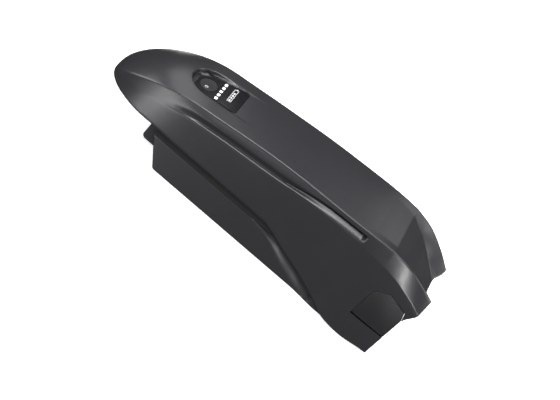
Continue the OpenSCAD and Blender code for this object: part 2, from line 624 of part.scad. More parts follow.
// ---- Charge port ----
hinge_d = cover_t;
hinge_z = cover_low + cover_t;
socket_u = 20;
socket_z = 54;
ear_u = [0.35, 38.6];
ear_w = 1.4;
frame_d = cover_t + 1.2;
frame_back = frame_d + 2;
module port_cover() color([0.13, 0.13, 0.14]) at_port() difference() {
    union() {
        along_y(0, cover_t) difference() {
            polygon(cover_outline);
            translate([-1, 0]) square([3.1, cover_low + 5]);
            translate([38.3, 0]) square([3.1, cover_low + 5]);
            square([60, hinge_z]);
        }
        translate([0, hinge_d, hinge_z]) bar_x(2.1, 38.3, cover_t);
    }
    translate([0, hinge_d, hinge_z]) bar_x(-5, 50, pin_r + pin_gap);
}
module cover_plug() color([0.04, 0.04, 0.04]) at_port() translate([socket_u, 0, socket_z]) difference() {
    bar_y(cover_t + 0.02, frame_back + 0.6, charge_bore_r - 0.8);
    bar_y(cover_t + 1.4, frame_back + 5, charge_bore_r - 2.2);
}
module cover_pin() color([0.75, 0.75, 0.76]) at_port()
    translate([0, hinge_d, hinge_z]) bar_x(ear_u[0], ear_u[1] + ear_w, pin_r);
module port_frame() color([0.1, 0.1, 0.11]) at_port() {
    difference() {
        union() {
            along_y(frame_d, 2) polygon([[-2, 37.5], [-2, 68], [0.5, 73.5], [15, 80.5], [34, 74.2],
                                               [34, 37.5]]);
            along_y(frame_back - 0.02, 1.9) translate([0.3, 30.6]) square([39.8, 9.4]);
            for (u = ear_u) {
                translate([0, hinge_d, hinge_z]) bar_x(u, u + ear_w, cover_t - 0.2);
                translate([u, hinge_d, hinge_z - 2.2]) cube([ear_w, 3.6, 4.4]);
            }
        }
        translate([socket_u, 0, socket_z]) bar_y(-5, 20, charge_bore_r + 0.1);
        translate([0, hinge_d, hinge_z]) bar_x(-5, 50, pin_r + 0.02);
        for (s = [-1, 1]) translate([socket_u + s * 11.2, 0, socket_z]) bar_y(-5, 20, 1.2);
    }
}
module charge_socket() color([0.07, 0.07, 0.08]) at_port() translate([socket_u, 0, socket_z]) difference() {
    union() {
        bar_y(frame_back + 0.05, 25, charge_bore_r + 1.5);
        bar_y(frame_back + 0.05, 7.7, charge_bore_r + 5.8);
    }
    bar_y(0, 17, charge_bore_r);
    for (a = [90, 210, 330]) translate([4 * cos(a), 0, 4 * sin(a)]) bar_y(0, 40, 1.05);
    for (s = [-1, 1]) translate([s * 11.2, 0, 0]) bar_y(0, 20, 0.9);
}
module charge_contacts() color([0.85, 0.7, 0.35]) at_port() translate([socket_u, 0, socket_z])
    for (a = [90, 210, 330]) translate([4 * cos(a), 0, 4 * sin(a)]) bar_y(11, 27, 1);
module port_screws() color([0.6, 0.6, 0.62]) at_port()
    for (s = [-1, 1]) translate([socket_u + s * 11.2, 0, socket_z]) {
        bar_y(cover_t + 0.3, 7.2, 0.8);
        bar_y(cover_t + 0.3, frame_d - 0.05, 1.7);
    }

// ---- Terminal end ----
cap_x = 172;
socket_low = 13;
socket_high = 42;
socket_back = 147;
blade_y = 13;
signal_y = [-5.4, -1.8, 1.8, 5.4];
contact_z = (socket_low + socket_high) / 2;
cap_gap = 0.8;
function cap_point(j) =
    let (p = skin(cap_x + cap_t + 1, j, inner_inset), d = inward(j))
    [p[0] - cap_gap * d[0], p[1] - cap_gap * d[1]];
module end_cap() color([0.11, 0.11, 0.12]) {
    right = [for (j = [0:half_count - 2]) cap_point(j)];
    low = case_base + 0.4;
    foot = [cap_point(half_count - 1)[0], low];
    half = concat(right, [foot]);
    left = [for (i = [len(half) - 1:-1:1]) [-half[i][0], half[i][1]]];
    difference() {
        translate([cap_x, 0, 0]) rotate([90, 0, 90]) linear_extrude(cap_t) polygon(concat(half, left));
        translate([cap_x - 1, -25.15, socket_low - 0.15]) cube([10, 50.3, socket_high - socket_low + 0.3]);
        mirrored() translate([0, cap_screw[0], cap_screw[1]]) bar_x(cap_x - 1, cap_x + 9, screw_r + 0.2);
        translate([0, 0, 71]) bar_x(cap_x - 1, cap_x + 9, 5.1);
        at_port() translate([24, 0, cover_low - 1.2]) cube([20, 10, 11]);
    }
}
module cap_seal() color([0.03, 0.03, 0.03]) difference() {
    translate([cap_x - 1.6, -29.5, socket_low - 4.5]) cube([1.5, 59, socket_high - socket_low + 9]);
    translate([cap_x - 3, -28.2, socket_low - 3.2]) cube([5, 56.4, socket_high - socket_low + 6.4]);
}
module cap_screws() color([0.55, 0.55, 0.57]) mirrored() translate([0, cap_screw[0], cap_screw[1]]) {
    bar_x(cap_x - 9, cap_x + cap_t + 0.2, screw_r);
    bar_x(cap_x + cap_t + 0.05, cap_x + cap_t + 1.8, 2.8);
}
module vent_plug() color([0.2, 0.2, 0.2]) translate([0, 0, 71]) {
    difference() {
        bar_x(cap_x - 2, cap_x + cap_t + 0.5, 5);
        bar_x(cap_x - 3, cap_x + 0.5, 3.4);
        for (a = [0:60:300]) translate([0, 2.2 * cos(a), 2.2 * sin(a)]) bar_x(cap_x - 3, cap_x + 9, 0.5);
    }
    difference() {
        bar_x(cap_x + cap_t + 0.03, cap_x + cap_t + 1, 6);
        for (a = [0:60:300]) translate([0, 2.2 * cos(a), 2.2 * sin(a)]) bar_x(cap_x - 3, cap_x + 9, 0.5);
    }
}
module contact_shape(w, h, x0, x1) translate([x0, -w / 2, -h / 2]) cube([x1 - x0, w, h]);
module each_blade() for (s = [-1, 1]) translate([0, s * blade_y, contact_z]) children();
module each_signal() for (y = signal_y) translate([0, y, contact_z]) children();
module discharge_socket() color([0.09, 0.09, 0.1]) difference() {
    union() {
        translate([socket_back, -25, socket_low]) cube([176 - socket_back, 50, socket_high - socket_low]);
        translate([cap_x - 1.7, -28, socket_low - 3]) cube([1.5, 56, socket_high - socket_low + 6]);
    }
    translate([158, 0, contact_z]) rotate([90, 0, 90]) linear_extrude(30) rounded_plate(socket_half, 11, 3);
    each_blade() contact_shape(2.1, 10.1, 140, 160);
    each_signal() contact_shape(1.1, 6.1, 140, 160);
}
module power_contacts() color([0.85, 0.7, 0.35]) each_blade() contact_shape(2, 10, 143, 168);
module signal_contacts() color([0.85, 0.7, 0.35]) each_signal() contact_shape(1, 6, 143, 167);

// ---- Wiring and fuse ----
cable_x = board_front + 0.05;
lead_z = 56.2;
fuse_x = 123;
drop_x = 139.5;
module main_fuse() color([0.75, 0.3, 0.12]) translate([fuse_x, -blade_y, lead_z]) {
    translate([0, -6, -2.7]) cube([10, 12, 6]);
    translate([-3.5, -2.5, -0.7]) cube([17, 5, 1.4]);
}
module lead(x0, x1, y, r)
    cable([[x0, y, lead_z], [x1, y, lead_z], [x1, y, contact_z], [142.8, y, contact_z]], r);
module positive_cable() color([0.7, 0.08, 0.06]) {
    translate([0, -blade_y, lead_z]) bar_x(cable_x, fuse_x - 3.6, 1.9);
    lead(fuse_x + 13.6, drop_x, -blade_y, 1.9);
}
module negative_cable() color([0.03, 0.03, 0.035]) lead(cable_x, drop_x, blade_y, 1.9);
module signal_cable() color([0.8, 0.78, 0.7]) for (y = signal_y) lead(cable_x, 136.5, y, 0.7);
module charge_cable() color([0.35, 0.05, 0.05]) for (s = [-1, 1])
    let (x = 156.95 + 3.4 * s, y = 2 * s - 7)
    cable([[cable_x, y, 61.4], [x, y, 61.4], [x, y, 52], [x, -15.2, 52]], 1);
module balance_cable() color([0.85, 0.85, 0.83]) for (k = [0:cell_columns])
    translate([0, -13.5 + 1.5 * k, 0])
        cable([[stack_end - 4, 0, stack_top + 1.2], [board_front + 2, 0, stack_top + 1.2],
               [board_front + 2, 0, 89.3]], 0.5);

upper_shell();
lower_case();
nose_plate();
case_gasket();
lock_keeper();
keeper_screws();
case_screws();
cells();
holder_left();
holder_right();
tie_rods();
bus_left();
bus_right();
insulator_left();
insulator_right();
foam_pad();
thermistors();
bms_board();
board_screws();
bms_chips();
heat_plate();
indicator_bezel();
indicator_lens();
power_button();
button_seal();
charge_lights();
light_board();
light_chips();
tact_switch();
panel_screws();
indicator_cable();
port_cover();
cover_plug();
cover_pin();
port_frame();
charge_socket();
charge_contacts();
port_screws();
end_cap();
cap_seal();
cap_screws();
vent_plug();
discharge_socket();
power_contacts();
signal_contacts();
main_fuse();
positive_cable();
negative_cable();
signal_cable();
charge_cable();
balance_cable();
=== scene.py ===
"""Looks of a down-tube e-bike battery pack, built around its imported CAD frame.

The CAD frame is in metres, nose at -X, terminal end at +X, power button on +Z, charge port on -Y.
Shape functions below work in millimetres and are scaled once, when a mesh is made.
"""

import math

import bmesh
import bpy
import numpy as np
from mathutils import Matrix, Vector


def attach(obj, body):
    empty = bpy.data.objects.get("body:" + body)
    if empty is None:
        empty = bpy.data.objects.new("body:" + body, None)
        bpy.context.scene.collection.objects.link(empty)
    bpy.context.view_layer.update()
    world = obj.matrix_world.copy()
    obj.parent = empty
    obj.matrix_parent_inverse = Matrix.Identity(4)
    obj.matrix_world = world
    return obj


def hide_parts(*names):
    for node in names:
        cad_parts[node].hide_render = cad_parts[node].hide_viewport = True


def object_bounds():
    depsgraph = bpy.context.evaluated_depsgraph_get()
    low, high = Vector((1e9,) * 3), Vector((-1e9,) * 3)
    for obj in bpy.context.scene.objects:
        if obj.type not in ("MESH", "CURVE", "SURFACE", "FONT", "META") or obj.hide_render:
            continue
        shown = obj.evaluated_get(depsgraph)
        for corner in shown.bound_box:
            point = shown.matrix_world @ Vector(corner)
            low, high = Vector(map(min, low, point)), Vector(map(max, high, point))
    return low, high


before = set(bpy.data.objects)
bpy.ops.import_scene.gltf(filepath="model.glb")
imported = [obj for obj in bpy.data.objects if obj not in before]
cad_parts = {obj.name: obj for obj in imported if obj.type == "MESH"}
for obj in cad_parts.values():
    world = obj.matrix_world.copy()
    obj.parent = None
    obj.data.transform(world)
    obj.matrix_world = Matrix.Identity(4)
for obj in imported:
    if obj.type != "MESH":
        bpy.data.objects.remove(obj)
cad_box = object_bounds()
MM = 0.001

# ---------------------------------------------------------------- curves of the shell, mm
END_X = cad_box[1].x / MM
NOSE_X = -END_X
NOSE_START = -90.0
NOSE_LEN = NOSE_START - NOSE_X
TIP_Z = 44.2
WALL = 2.6
CREST_ROUND = 1.6
FOLD_X = 124.5
CREST_W = [[(-90, 39.3), (-20, 39.2), (50, 41.4), (90, 42.1), (FOLD_X, 40.8)],
           [(FOLD_X, 40.8), (147, 38.2), (170, 33.2), (186, 28.8)]]
CREST_Z = [[(-186, 86), (-127, 93.9), (-83, 99.7), (-32, 106.9), (14, 111.8), (69, 115), (105, 116.8),
            (FOLD_X, 116.9)],
           [(FOLD_X, 116.9), (147, 112.4), (170, 102), (186, 92)]]
LIP_Y = [(-90, 42), (0, 42.5), (80, 42.8), (118, 43.5), (150, 42.9), (186, 40)]
LIP_Z = [(-186, 70), (-129, 73.5), (-97, 80.5), (-59, 86.3), (-19, 90.8), (32, 97), (90, 99.2),
         (117, 99), (143, 95.5), (167, 87.5), (186, 79)]
FOOT_Y = [(-90, 42), (100, 42), (120, 43.5), (150, 43.5), (178, 42.5)]
FOOT_Z = [(-117, 45), (15, 45), (28, 42), (48, 33.8), (72, 25.6), (107, 10), (120, 3.5), (135, 0.6),
          (150, 0), (178, 3)]
VALLEY_W = [(60, 36), (100, 32), (124, 28), (152, 20.6), (169, 16.5), (186, 10)]
VALLEY_D = [[(60, 0), (95, 0), (FOLD_X, 1.6)],
            [(FOLD_X, 1.6), (140, 5.6), (152, 8), (169, 10.4), (186, 10)]]
CROWN = [(-186, 9.8), (-150, 10.7), (-110, 2.2), (-60, 1.5), (60, 1.5), (100, 0)]


def smooth(u):
    """0 below 0, 1 above 1, with no slope at either end."""
    u = np.clip(u, 0, 1)
    return u * u * (3 - 2 * u)


def curve(knots, x):
    """Smooth curve through (x, value) knots, level outside them."""
    k = np.array(knots, float)
    slope = np.empty(len(k))
    slope[1:-1] = (k[2:, 1] - k[:-2, 1]) / (k[2:, 0] - k[:-2, 0])
    slope[0] = (k[1, 1] - k[0, 1]) / (k[1, 0] - k[0, 0])
    slope[-1] = (k[-1, 1] - k[-2, 1]) / (k[-1, 0] - k[-2, 0])
    x = np.clip(x, k[0, 0], k[-1, 0])
    i = np.clip(np.searchsorted(k[:, 0], x, side="right") - 1, 0, len(k) - 2)
    h = k[i + 1, 0] - k[i, 0]
    s = (x - k[i, 0]) / h
    return ((1 + 2 * s) * (1 - s) ** 2 * k[i, 1] + s * (1 - s) ** 2 * h * slope[i]
            + s * s * (3 - 2 * s) * k[i + 1, 1] + s * s * (s - 1) * h * slope[i + 1])


def nose(x, p, q, inset):
    """Nose envelope: 1 along the body, 0 at the tip, which an inset moves inwards."""
    u = np.clip((NOSE_START - x) / (NOSE_LEN - inset), 0, 1)
    return np.maximum(1 - u ** p, 0) ** q


def raised(z, e):
    return TIP_Z + (z - TIP_Z) * e


def foot_height(x, inset):
    rim = 43 + 2 * smooth((x + 150) / 33)
    return np.where(x < -117, raised(rim, nose(x, 3.87, 0.5, inset)), np.maximum(curve(FOOT_Z, x), 0))


def folded(pair, x):
    """A curve given in two parts that meet at the fold across the top."""
    return np.where(x < FOLD_X, curve(pair[0], x), curve(pair[1], x))


def ramp(u):
    """Straight slope from 0 to 1, rounded a little where it starts and ends."""
    r = 0.16
    u = np.clip(u, 0, 1)
    k = 1 / (2 * r * (1 - r))
    return np.where(u < r, k * u * u, np.where(u > 1 - r, 1 - k * (1 - u) ** 2, (u - r / 2) / (1 - r)))


class Section:
    """Everything that the outline of the shell depends on at the places x (any array shape)."""

    def __init__(self, x, inset=0.0):
        self.ew, self.ez = nose(x, 2.32, 0.35, inset), nose(x, 2.13, 0.7, inset)
        self.x = x
        self.wc = np.maximum(folded(CREST_W, x) * self.ew, 1e-6)
        self.zc = raised(folded(CREST_Z, x), self.ez)
        self.round = np.minimum(CREST_ROUND, 0.3 * self.wc)
        self.lip = curve(LIP_Y, x) * self.ew, raised(curve(LIP_Z, x), self.ez)
        self.foot = curve(FOOT_Y, x) * nose(x, 2.63, 0.35, inset), foot_height(x, inset)
        self.valley = np.minimum(curve(VALLEY_W, x), 0.9 * self.wc)

    def top_z(self, y):
        u = (self.wc - np.abs(y)) / np.maximum(self.wc - self.valley, 0.01)
        return (self.zc + curve(CROWN, self.x) * self.ez * (1 - (y / self.wc) ** 2)
                - folded(VALLEY_D, self.x) * ramp(u))

    def under_crest(self):
        dy, dz = self.lip[0] - self.wc, self.lip[1] - self.zc
        n = np.maximum(np.hypot(dy, dz), 0.01)
        return self.wc + dy / n * self.round, self.zc + dz / n * self.round

    def strip(self, s):
        uy, uz = self.under_crest()
        return uy + (self.lip[0] - uy) * s - cove(self.x, s) * self.ew, uz + (self.lip[1] - uz) * s


def cove(x, s):
    """Depth of the long cove at the share s of the strip's height below the crest.

    Near the nose the strip swells below the crest and tucks in just above the lip; towards the
    terminal end the cove is deepest just below the crest.
    """
    start, end = smooth((x + 132) / 60), 1 - smooth((x - 91.5) / 6)
    late = smooth(x / 75)
    deepest = 0.92 - 0.58 * late
    top = 0.25 - 0.04 * late
    above = smooth((s - top) / (deepest - top)) ** (1.5 - 0.5 * late)
    below = 1 - smooth((s - deepest) / (0.985 - 0.025 * late - deepest))
    tuck = (2.4 + 3.6 * late) * np.where(s < deepest, above, below)
    bulge = 1.3 * (1 - late) * np.sin(np.pi * np.minimum(s / 0.75, 1))
    return (tuck - bulge) * start * end


# ---------------------------------------------------------------- the recess with button and lights
PANEL = Vector((-94.0, 0.0, 96.6))
PANEL_TILT = math.radians(15.1)
RECESS_NOSE, RECESS_TAIL = -126.2, -30.0
RECESS_WALL = 2.6
RECESS_ROUND = 32.0


def floor_z(x):
    return PANEL.z + math.tan(PANEL_TILT) * (x - PANEL.x)


def recess_half(x):
    """Half width of the recess at x, 0 beyond its rounded nose end."""
    u = np.clip((x - RECESS_NOSE) / RECESS_ROUND, 0, 1)
    body = np.interp(x, [PANEL.x, -59, RECESS_TAIL], [22, 23, 23.4])
    return body * np.sqrt(np.maximum(1 - (1 - u) ** 2.6, 0))


# ---------------------------------------------------------------- materials
def node_material(name, base, rough, metal=0.0, coat=0.0, grain=0.0, grain_mm=0.5, drift=0.12, glow=0.0,
                  painted_shade_mm=0.0):
    """Moulded or metal finish: slow colour drift, uneven roughness and fine grain, plus painted shade:
    an occlusion node darkens the colour and weakens the reflections in crevices.
    """
    m = bpy.data.materials.new(name)
    m.use_nodes = True
    n, link = m.node_tree.nodes, m.node_tree.links
    b = n["Principled BSDF"]
    b.inputs["Metallic"].default_value = metal
    b.inputs["Coat Weight"].default_value = coat
    b.inputs["Coat Roughness"].default_value = 0.12
    place = n.new("ShaderNodeTexCoord").outputs["Object"]

    def noise(size_mm, detail):
        t = n.new("ShaderNodeTexNoise")
        t.inputs["Scale"].default_value = 1 / (size_mm * MM)
        t.inputs["Detail"].default_value = detail
        link.new(place, t.inputs["Vector"])
        return t.outputs["Fac"]

    slow = noise(45, 3)
    mix = n.new("ShaderNodeMixRGB")
    mix.inputs["Color1"].default_value = (*[c * (1 - drift) for c in base], 1)
    mix.inputs["Color2"].default_value = (*[c * (1 + drift) for c in base], 1)
    link.new(slow, mix.inputs["Fac"])
    colour = mix.outputs["Color"]
    # Painted shade: ambient occlusion darkens the base colour and lowers the specular level where
    # surfaces close in.
    if painted_shade_mm:
        shade = n.new("ShaderNodeAmbientOcclusion")
        shade.samples = 8
        shade.inputs["Distance"].default_value = painted_shade_mm * MM
        open_part = n.new("ShaderNodeMapRange")
        open_part.inputs["From Min"].default_value = 0.45
        open_part.inputs["From Max"].default_value = 0.92
        link.new(shade.outputs["AO"], open_part.inputs["Value"])
        painted_shade_colour = n.new("ShaderNodeMixRGB")
        painted_shade_colour.inputs["Color1"].default_value = (*[c * 0.2 for c in base], 1)
        link.new(open_part.outputs["Result"], painted_shade_colour.inputs["Fac"])
        link.new(colour, painted_shade_colour.inputs["Color2"])
        colour = painted_shade_colour.outputs["Color"]
        gloss = n.new("ShaderNodeMapRange")
        gloss.inputs["To Min"].default_value = 0.08
        gloss.inputs["To Max"].default_value = 0.5
        link.new(open_part.outputs["Result"], gloss.inputs["Value"])
        link.new(gloss.outputs["Result"], b.inputs["Specular IOR Level"])
    link.new(colour, b.inputs["Base Color"])
    spread = n.new("ShaderNodeMapRange")
    spread.inputs["To Min"].default_value = rough * 0.92
    spread.inputs["To Max"].default_value = min(1, rough * 1.08)
    link.new(noise(9, 4), spread.inputs["Value"])
    link.new(spread.outputs["Result"], b.inputs["Roughness"])
    if grain:
        bump = n.new("ShaderNodeBump")
        bump.inputs["Strength"].default_value = grain
        bump.inputs["Distance"].default_value = 0.02 * MM
        link.new(noise(grain_mm, 2), bump.inputs["Height"])
        link.new(bump.outputs["Normal"], b.inputs["Normal"])
    if glow:
        b.inputs["Emission Color"].default_value = (*base, 1)
        b.inputs["Emission Strength"].default_value = glow
    return m


FINISH = {
    # Shell and case carry painted shade in their crevices, reaching the given distance in mm.
    "shell_grey": node_material("shell_grey", (0.024, 0.024, 0.027), 0.30,
                                grain=0.5, grain_mm=0.35, painted_shade_mm=9),
    "case_grey": node_material("case_grey", (0.022, 0.022, 0.024), 0.36,
                               grain=0.8, grain_mm=0.5, painted_shade_mm=16),
    "dark_plastic": node_material("dark_plastic", (0.010, 0.010, 0.0115), 0.55,
                                  grain=0.7, grain_mm=0.4),
    "lens_black": node_material("lens_black", (0.008, 0.008, 0.010), 0.16, coat=0.6, drift=0.05),
    "light_white": node_material("light_white", (0.95, 0.96, 1.0), 0.3, glow=0.7, drift=0.01),
    # Black rubber for seals and plugs, set darker than rubber so that the gasket in the gap under the
    # shell also stands in for the shade there: partly real rubber, partly painted shade.
    "soft_black": node_material("soft_black", (0.004, 0.004, 0.0045), 0.85, grain=0.6, grain_mm=0.25),
    "steel": node_material("steel", (0.55, 0.55, 0.57), 0.32, metal=1, grain=0.2, grain_mm=0.15),
    "nickel": node_material("nickel", (0.66, 0.64, 0.58), 0.28, metal=1, grain=0.2, grain_mm=0.2),
    "contact_gold": node_material("contact_gold", (0.86, 0.62, 0.26), 0.24,
                                  metal=1, grain=0.1, grain_mm=0.2),
    "cell_wrap": node_material("cell_wrap", (0.03, 0.16, 0.34), 0.3, coat=0.3, grain=0.2, grain_mm=1.2),
    "holder_white": node_material("holder_white", (0.72, 0.72, 0.68), 0.5, grain=0.4, grain_mm=0.4),
    "board_green": node_material("board_green", (0.012, 0.11, 0.04), 0.34, coat=0.4, drift=0.2),
    "component_black": node_material("component_black", (0.012, 0.012, 0.013), 0.42,
                                     grain=0.4, grain_mm=0.2),
    "aluminium": node_material("aluminium", (0.72, 0.73, 0.75), 0.36,
                               metal=1, grain=0.5, grain_mm=0.12),
    "paper": node_material("paper", (0.5, 0.56, 0.44), 0.85, grain=0.8, grain_mm=0.3),
    "foam": node_material("foam", (0.02, 0.02, 0.02), 0.95, grain=1, grain_mm=0.7),
    "fuse_orange": node_material("fuse_orange", (0.62, 0.16, 0.03), 0.35, drift=0.08),
    "wire_red": node_material("wire_red", (0.5, 0.015, 0.012), 0.42, drift=0.08),
    "wire_black": node_material("wire_black", (0.012, 0.012, 0.012), 0.42, drift=0.08),
    "wire_grey": node_material("wire_grey", (0.3, 0.3, 0.29), 0.42, drift=0.08),
    "mark_grey": node_material("mark_grey", (0.62, 0.62, 0.64), 0.45, drift=0.03),
    "seam_dark": node_material("seam_dark", (0.004, 0.004, 0.0045), 0.9, drift=0.05),
}


def put(name, points_mm, faces, finish, body="pack", sharp=32):
    """A mesh object from points in millimetres, shaded smooth with sharp edges kept."""
    mesh = bpy.data.meshes.new(name)
    mesh.from_pydata([tuple(p) for p in np.asarray(points_mm, float) * MM], [], faces)
    mesh.validate()
    obj = bpy.data.objects.new(name, mesh)
    bpy.context.collection.objects.link(obj)
    settle(obj, sharp)
    mesh.materials.append(FINISH[finish])
    if body:
        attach(obj, body)
    return obj


def settle(obj, sharp=32):
    """Outward normals, smooth shading and sharp edges by angle."""
    bm = bmesh.new()
    bm.from_mesh(obj.data)
    bmesh.ops.recalc_face_normals(bm, faces=bm.faces)
    bm.to_mesh(obj.data)
    bm.free()
    obj.data.polygons.foreach_set("use_smooth", [True] * len(obj.data.polygons))
    obj.data.set_sharp_from_angle(angle=math.radians(sharp))


def apply_modifiers(obj):
    """Leaves the evaluated mesh on the object and no modifiers."""
    graph = bpy.context.evaluated_depsgraph_get()
    mesh = bpy.data.meshes.new_from_object(obj.evaluated_get(graph))
    old = obj.data
    obj.modifiers.clear()
    obj.data = mesh
    bpy.data.meshes.remove(old)


def cut(obj, cutters, sharp=32):
    """Subtracts closed meshes, then removes them."""
    for c in cutters:
        mod = obj.modifiers.new("cut", "BOOLEAN")
        mod.operation, mod.object, mod.solver = "DIFFERENCE", c, "MANIFOLD"
    apply_modifiers(obj)
    for c in cutters:
        bpy.data.objects.remove(c)
    settle(obj, sharp)


def prism(name, ring_a, ring_b, finish="dark_plastic", body=None, sharp=32):
    """A closed solid between two rings of the same number of points."""
    n = len(ring_a)
    faces = [(i, (i + 1) % n, n + (i + 1) % n, n + i) for i in range(n)]
    faces += [tuple(range(n))[::-1], tuple(range(n, 2 * n))]
    return put(name, list(ring_a) + list(ring_b), faces, finish, body, sharp)


def loft(name, rings, finish, body="pack", sharp=32, frame_of=None):
    """A closed solid through several rings of the same number of points, with flat end caps."""
    n, points, faces = len(rings[0]), [], []
    for k, ring in enumerate(rings):
        points += [frame_of(p) if frame_of else p for p in ring]
        if k:
            faces += [((k - 1) * n + i, (k - 1) * n + (i + 1) % n, k * n + (i + 1) % n, k * n + i)
                      for i in range(n)]
    last = (len(rings) - 1) * n
    faces += [tuple(range(n))[::-1], tuple(range(last, last + n))]
    return put(name, points, faces, finish, body, sharp)


def rounded(outline, radius, steps=5):
    """A closed 2-D outline with each corner turned into an arc-like curve."""
    out, n = [], len(outline)
    for i in range(n):
        p = np.array(outline[i], float)
        a, b = np.array(outline[i - 1], float), np.array(outline[(i + 1) % n], float)
        ra = min(radius, np.linalg.norm(a - p) * 0.48)
        rb = min(radius, np.linalg.norm(b - p) * 0.48)
        pa, pb = p + (a - p) / np.linalg.norm(a - p) * ra, p + (b - p) / np.linalg.norm(b - p) * rb
        for k in range(steps + 1):
            t = k / steps
            out.append(tuple(pa * (1 - t) ** 2 + 2 * p * t * (1 - t) + pb * t * t))
    return out


def shrunk(outline, amount):
    """A closed 2-D outline moved inwards by an amount (outline runs either way round)."""
    p = np.array(outline, float)
    area = 0.5 * np.sum(p[:, 0] * np.roll(p[:, 1], -1) - np.roll(p[:, 0], -1) * p[:, 1])
    t = np.roll(p, -1, 0) - np.roll(p, 1, 0)
    t /= np.maximum(np.linalg.norm(t, axis=1), 1e-9)[:, None]
    inward = np.stack([-t[:, 1], t[:, 0]], 1) * np.sign(area)
    return [tuple(q) for q in p + inward * amount]


def on_panel(p):
    """(along, across, up) in the recess floor's frame to the pack's frame, mm."""
    c, s = math.cos(PANEL_TILT), math.sin(PANEL_TILT)
    u, v, w = p
    return (PANEL.x + u * c - w * s, PANEL.y + v, PANEL.z + u * s + w * c)


PORT = Vector((137.0, -43.25, 0.0))
PORT_TURN = math.radians(1.72)


def at_port(p):
    """(along, inwards, up) in the charge port's frame to the pack's frame, mm."""
    c, s = math.cos(PORT_TURN), math.sin(PORT_TURN)
    u, d, w = p
    return (PORT.x + u * c - d * s, PORT.y + u * s + d * c, PORT.z + w)


def disc(radius, w, n=96):
    turns = [2 * math.pi * i / n for i in range(n)]
    return [(radius * math.cos(a), radius * math.sin(a), w) for a in turns]


# ---------------------------------------------------------------- shell
END_EDGE_TOP = [(0, 181), (0.5, 181), (0.62, 181.6), (0.75, 183.6), (0.88, 185.4), (1, 186)]
END_EDGE_STRIP = [(0, 186), (0.15, 186), (1, 185)]
END_EDGE_SIDE = [(0, 185.2), (0.07, 184), (0.14, 180.6), (0.21, 178.3), (0.3, 177.6), (1, 177.5)]
END_BEND = 140.0
EDGE_ROUND = 0.7
FOOT_ROUND_IN, FOOT_ROUND_UP = 0.7, 0.8
LIP_SHARE = 0.05
N_INNER, N_WALL, N_OUTER, N_CREST, N_STRIP, N_LIP, N_SIDE = 20, 9, 18, 7, 34, 4, 18


def recess_columns(sec):
    """Half width that the grid's columns follow, so that they run along the recess wall."""
    wanted = np.maximum(recess_half(np.clip(sec.x, -112, RECESS_TAIL)), 16)
    return np.minimum(wanted, 0.66 * (sec.wc - sec.round))


def outline_distance(x, y):
    """Distance inside the recess outline, negative outside, by the nearest of many outline points."""
    xs = RECESS_NOSE + (RECESS_TAIL - RECESS_NOSE) * np.linspace(0, 1, 1400) ** 2.2
    pts = np.stack([xs, recess_half(xs)], 1)
    near = (x > -140) & (x < -25)
    d = np.full(x.shape, -9.0)
    q = np.stack([x[near], np.abs(y[near])], 1)
    best = np.full(len(q), 1e9)
    for chunk in range(0, len(pts), 100):
        block = pts[chunk:chunk + 100]
        best = np.minimum(best, ((q[:, None, :] - block[None]) ** 2).sum(2).min(1))
    inside = (q[:, 1] < recess_half(q[:, 0])) & (q[:, 0] > RECESS_NOSE)
    d[near] = np.sqrt(best) * np.where(inside, 1, -1)
    return d


def recess_drop(x, y, z):
    """How far the top surface at z sinks towards the sloping floor, fading out before the middle."""
    d0 = z - floor_z(x)
    soft = 1.1
    sunk = np.where(d0 > 12, d0, soft * np.log1p(np.exp(np.clip(d0, -30, 12) / soft)))
    fade = 1 - smooth((x + 62) / 24)
    return sunk * fade * smooth(outline_distance(x, y) / RECESS_WALL)


